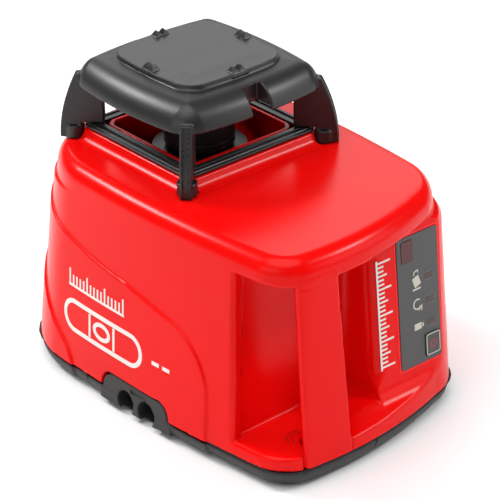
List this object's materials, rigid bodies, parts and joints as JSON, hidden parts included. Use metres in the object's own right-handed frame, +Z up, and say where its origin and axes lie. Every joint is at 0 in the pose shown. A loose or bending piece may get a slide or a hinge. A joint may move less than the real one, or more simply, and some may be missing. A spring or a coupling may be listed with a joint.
{
  "type": "rotating laser level",
  "caption": "Self-levelling rotating laser level: bowed housing with a corner handle and control panel, battery base, and a spinning beam head under a square guard cage.",
  "frame": {"origin": "middle of the footprint, on the surface that the level stands on", "axes": "+X towards the end with the handle and the control panel, +Z up, the near side with the charging port towards -Y"},
  "size_m": [0.251, 0.1741, 0.1981],
  "materials": {
    "red_plastic": "satin gloss",
    "black_plastic": "satin",
    "grey_plastic": "fine texture",
    "label_film": "satin film",
    "indicator_plastic": "tinted gloss",
    "key_rubber": "satin",
    "rubber": "matt",
    "steel": "brushed",
    "aluminium": "machined",
    "brass": "turned",
    "optical_glass": "polished",
    "circuit_board": "solder mask",
    "cell_sleeve": "printed sleeve"
  },
  "bodies": {
    "root": {"upper_housing": "red_plastic", "handle_rear_shell": "red_plastic", "base_shell": "grey_plastic", "base_gasket": "rubber", "tripod_insert": "brass", "foot_rear_near": "rubber", "foot_rear_far": "rubber", "foot_front_far": "rubber", "guard_cage": "black_plastic", "cage_screw_1": "steel", "cage_screw_2": "steel", "cage_screw_3": "steel", "cage_screw_4": "steel", "cage_frame": "black_plastic", "cage_frame_seal": "rubber", "levelling_chassis": "aluminium", "outer_pivot_pin_1": "steel", "outer_pivot_pin_2": "steel", "level_motor_x": "steel", "level_motor_y": "steel", "panel_label": "label_film", "sensor_window": "indicator_plastic", "led_tilt": "indicator_plastic", "led_auto": "indicator_plastic", "led_battery": "indicator_plastic", "main_board": "circuit_board"},
    "gimbal": {"gimbal_ring": "aluminium", "inner_pivot_pin_1": "steel", "inner_pivot_pin_2": "steel"},
    "carrier": {"spindle_carrier": "black_plastic", "laser_module": "brass", "collimator_lens": "optical_glass", "head_bearing": "steel", "spin_motor": "steel", "head_shroud": "black_plastic", "drive_belt": "rubber"},
    "rotor": {"rotor_spindle": "steel", "rotor_head": "black_plastic", "rotor_head_cap": "black_plastic", "pentaprism": "optical_glass", "beam_window_1": "optical_glass", "beam_window_2": "optical_glass"},
    "motor_shaft": {"motor_pulley": "brass"},
    "nut_x": {"level_nut_x": "brass"},
    "nut_y": {"level_nut_y": "brass"},
    "screw_x": {"level_screw_x": "steel"},
    "screw_y": {"level_screw_y": "steel"},
    "key": {"power_key": "key_rubber"},
    "tray": {"battery_case": "grey_plastic", "charge_socket": "black_plastic", "foot_front_near": "rubber", "battery_cell_1": "cell_sleeve", "battery_cell_2": "cell_sleeve", "battery_cell_3": "cell_sleeve", "battery_cell_4": "cell_sleeve"},
    "lock": {"case_lock": "steel"}
  },
  "joints": [
    {"name": "gimbal_pitch", "type": "hinge", "parent": "root", "child": "gimbal", "pos_m": [-0.0385, 0, 0.096], "axis": [1, 0, 0], "range_deg": [-5, 5]},
    {"name": "gimbal_roll", "type": "hinge", "parent": "gimbal", "child": "carrier", "pos_m": [-0.0385, 0, 0.096], "axis": [0, 1, 0], "range_deg": [-5, 5]},
    {"name": "head_spin", "type": "hinge", "parent": "carrier", "child": "rotor", "pos_m": [-0.0385, 0, 0.161], "axis": [0, 0, 1], "continuous": true},
    {"name": "motor_spin", "type": "hinge", "parent": "carrier", "child": "motor_shaft", "pos_m": [-0.0195, 0, 0.12], "axis": [0, 0, 1], "continuous": true},
    {"name": "nut_x_slide", "type": "slide", "parent": "root", "child": "nut_x", "axis": [0, 0, 1], "range_m": [-0.0044, 0.0044]},
    {"name": "nut_y_slide", "type": "slide", "parent": "root", "child": "nut_y", "axis": [0, 0, 1], "range_m": [-0.0044, 0.0044]},
    {"name": "screw_x_turn", "type": "hinge", "parent": "root", "child": "screw_x", "pos_m": [0.0155, 0, 0.08], "axis": [0, 0, 1], "range_deg": [-745, 745]},
    {"name": "screw_y_turn", "type": "hinge", "parent": "root", "child": "screw_y", "pos_m": [-0.0385, 0.054, 0.08], "axis": [0, 0, 1], "range_deg": [-745, 745]},
    {"name": "power_key_press", "type": "slide", "parent": "root", "child": "key", "axis": [-0.9963, 0, -0.0854], "range_m": [0, 0.0006], "stiffness_N_per_m": 800},
    {"name": "battery_case_drop", "type": "slide", "parent": "root", "child": "tray", "axis": [0, 0, -1], "range_m": [0, 0.035]},
    {"name": "case_lock_turn", "type": "hinge", "parent": "tray", "child": "lock", "pos_m": [0.0135, -0.08, 0.0092], "axis": [0, 1, 0], "range_deg": [0, 90]}
  ],
  "couplings": [
    {"joint": "motor_spin", "follows": "head_spin", "ratio": 2},
    {"joint": "nut_x_slide", "follows": "gimbal_roll", "m_per_rad": -0.047},
    {"joint": "nut_y_slide", "follows": "gimbal_pitch", "m_per_rad": 0.047},
    {"joint": "screw_x_turn", "follows": "gimbal_roll", "ratio": 147.65},
    {"joint": "screw_y_turn", "follows": "gimbal_pitch", "ratio": -147.65}
  ]
}
